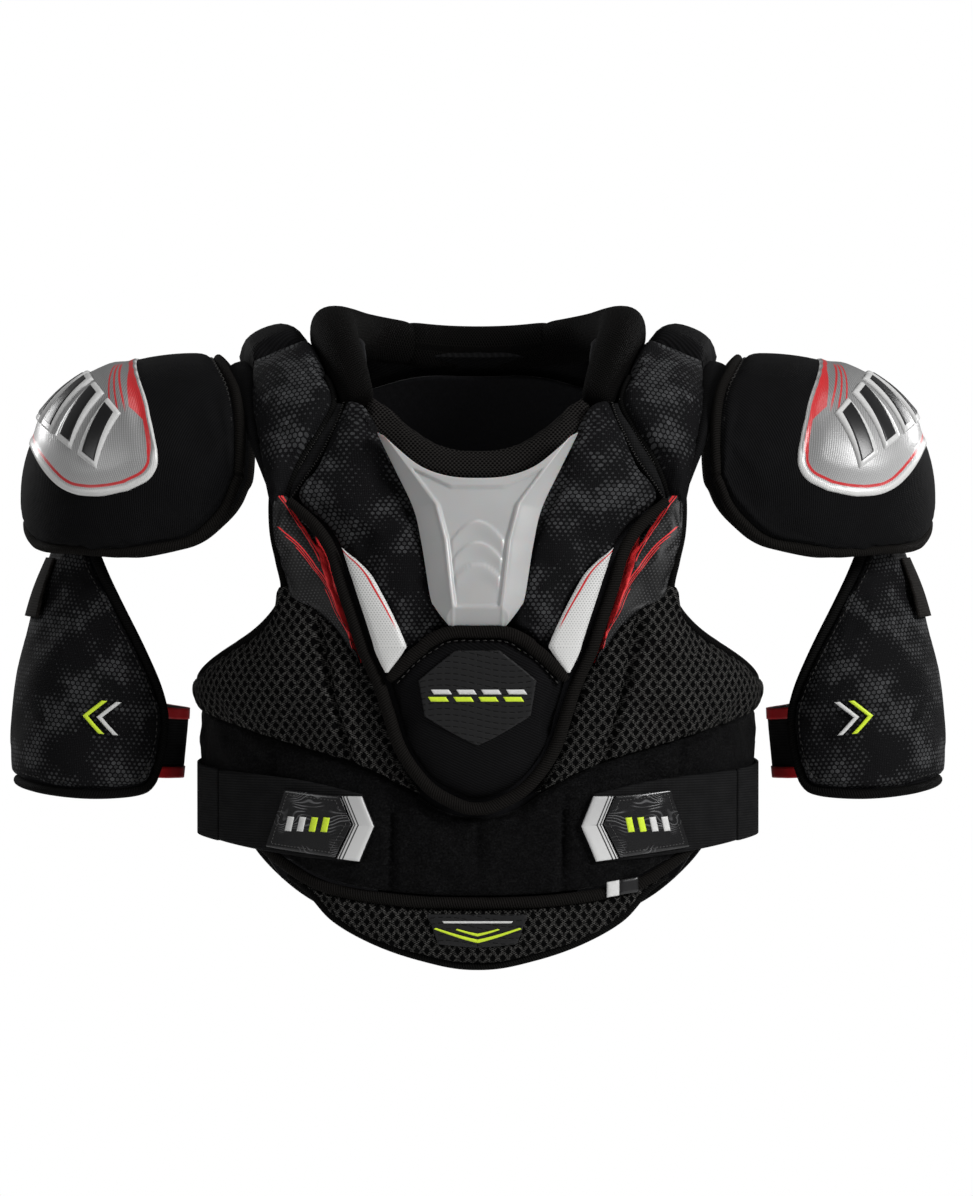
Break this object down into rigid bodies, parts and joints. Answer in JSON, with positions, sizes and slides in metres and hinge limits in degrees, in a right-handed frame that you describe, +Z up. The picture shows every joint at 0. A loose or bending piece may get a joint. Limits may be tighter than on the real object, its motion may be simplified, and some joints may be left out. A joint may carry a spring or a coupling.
{
  "type": "hockey shoulder pads",
  "caption": "Wearable padded torso and shoulder guard with hinged shoulder caps, hanging arm guards, peel-open side straps and a sliding belly extension.",
  "frame": {"origin": "centre of the space where the pads rest on the wearer, midway between the shoulders", "axes": "+Z up along the wearer's spine, -Y out of the chest, +X towards the wearer's left arm"},
  "size_m": [0.5398, 0.2657, 0.3707],
  "materials": {
    "black_knit": "fine ribbed knit, matt",
    "printed_fabric": "black weave with printed grey hexagons",
    "silver_insert": "moulded, fine dimples",
    "sternum_plastic": "translucent grey, satin",
    "spine_plastic": "ribbed, satin",
    "silver_film": "printed dots",
    "flash_fabric": "dark dots with red stripes",
    "knit_mesh": "open diamond mesh",
    "loop_fabric": "fuzzy loop pile",
    "liner_fabric": "soft brushed lining",
    "binding": "woven tape, ribbed",
    "collar_mesh": "fine mesh over foam",
    "elastic": "woven elastic",
    "webbing": "flat webbing",
    "label_rubber": "moulded label"
  },
  "bodies": {
    "torso": {"chest_liner": "liner_fabric", "chest_shield": "printed_fabric", "sternum_plate": "sternum_plastic", "belly_pad": "black_knit", "belly_patch": "label_rubber", "shield_piping": "binding", "accent_tab_left": "silver_film", "accent_tab_right": "silver_film", "flash_panel_left": "flash_fabric", "flash_panel_right": "flash_fabric", "side_panel_left": "knit_mesh", "side_panel_right": "knit_mesh", "landing_band": "loop_fabric", "band_hem": "binding", "neck_band": "binding", "collar_left": "collar_mesh", "collar_right": "collar_mesh", "collar_back": "collar_mesh", "arch_base_left": "liner_fabric", "arch_base_right": "liner_fabric", "arch_panel_left": "printed_fabric", "arch_panel_right": "printed_fabric", "arch_pad_left": "black_knit", "arch_pad_right": "black_knit", "arch_strip_left": "elastic", "arch_strip_right": "elastic", "shoulder_bridge_left": "black_knit", "shoulder_bridge_right": "black_knit", "back_liner": "liner_fabric", "back_yoke": "black_knit", "back_panel_left": "printed_fabric", "back_panel_right": "printed_fabric", "spine_plate": "spine_plastic", "back_lower_pad": "black_knit", "side_elastic_left": "elastic", "side_elastic_right": "elastic"},
    "cap_left": {"cap_shell_left": "black_knit", "cap_insert_left": "silver_insert", "cap_liner_left": "liner_fabric"},
    "arm_guard_left": {"guard_shell_left": "printed_fabric", "guard_base_left": "liner_fabric", "arm_webbing_left": "webbing", "webbing_tail_left": "webbing", "arm_band_left": "elastic"},
    "arm_tab_left": {"arm_band_tab_left": "elastic"},
    "strap_left": {"strap_end_left": "elastic", "strap_label_left": "label_rubber"},
    "cap_right": {"cap_shell_right": "black_knit", "cap_insert_right": "silver_insert", "cap_liner_right": "liner_fabric"},
    "arm_guard_right": {"guard_shell_right": "printed_fabric", "guard_base_right": "liner_fabric", "arm_webbing_right": "webbing", "webbing_tail_right": "webbing", "arm_band_right": "elastic"},
    "arm_tab_right": {"arm_band_tab_right": "elastic"},
    "strap_right": {"strap_end_right": "elastic", "strap_label_right": "label_rubber"},
    "extension": {"extension_pad": "knit_mesh", "extension_tongue": "loop_fabric"}
  },
  "joints": [
    {"name": "cap_lift_left", "type": "hinge", "parent": "torso", "child": "cap_left", "pos_m": [0.138, 0.004, 0.023], "axis": [0, -1, 0], "range_deg": [0, 45]},
    {"name": "cap_lift_right", "type": "hinge", "parent": "torso", "child": "cap_right", "pos_m": [-0.138, 0.004, 0.023], "axis": [0, 1, 0], "range_deg": [0, 45]},
    {"name": "arm_swing_left", "type": "hinge", "parent": "cap_left", "child": "arm_guard_left", "pos_m": [0.228, -0.0126, -0.045], "axis": [-1, 0, 0], "range_deg": [-15, 15]},
    {"name": "arm_swing_right", "type": "hinge", "parent": "cap_right", "child": "arm_guard_right", "pos_m": [-0.228, -0.0126, -0.045], "axis": [-1, 0, 0], "range_deg": [-15, 15]},
    {"name": "arm_tab_peel_left", "type": "hinge", "parent": "arm_guard_left", "child": "arm_tab_left", "pos_m": [0.1915, 0.0476, -0.1954], "axis": [-0.0958, 0, 0.9954], "range_deg": [0, 90]},
    {"name": "arm_tab_peel_right", "type": "hinge", "parent": "arm_guard_right", "child": "arm_tab_right", "pos_m": [-0.1915, 0.0476, -0.1954], "axis": [-0.0958, 0, -0.9954], "range_deg": [0, 90]},
    {"name": "strap_peel_left", "type": "hinge", "parent": "torso", "child": "strap_left", "pos_m": [0.144, -0.0722, -0.2302], "axis": [0, -0.0265, 0.9996], "range_deg": [0, 100]},
    {"name": "strap_peel_right", "type": "hinge", "parent": "torso", "child": "strap_right", "pos_m": [-0.144, -0.0722, -0.2302], "axis": [0, 0.0265, -0.9996], "range_deg": [0, 100]},
    {"name": "extension_slide", "type": "slide", "parent": "torso", "child": "extension", "axis": [0, 0.0499, -0.9988], "range_m": [0, 0.04]}
  ]
}
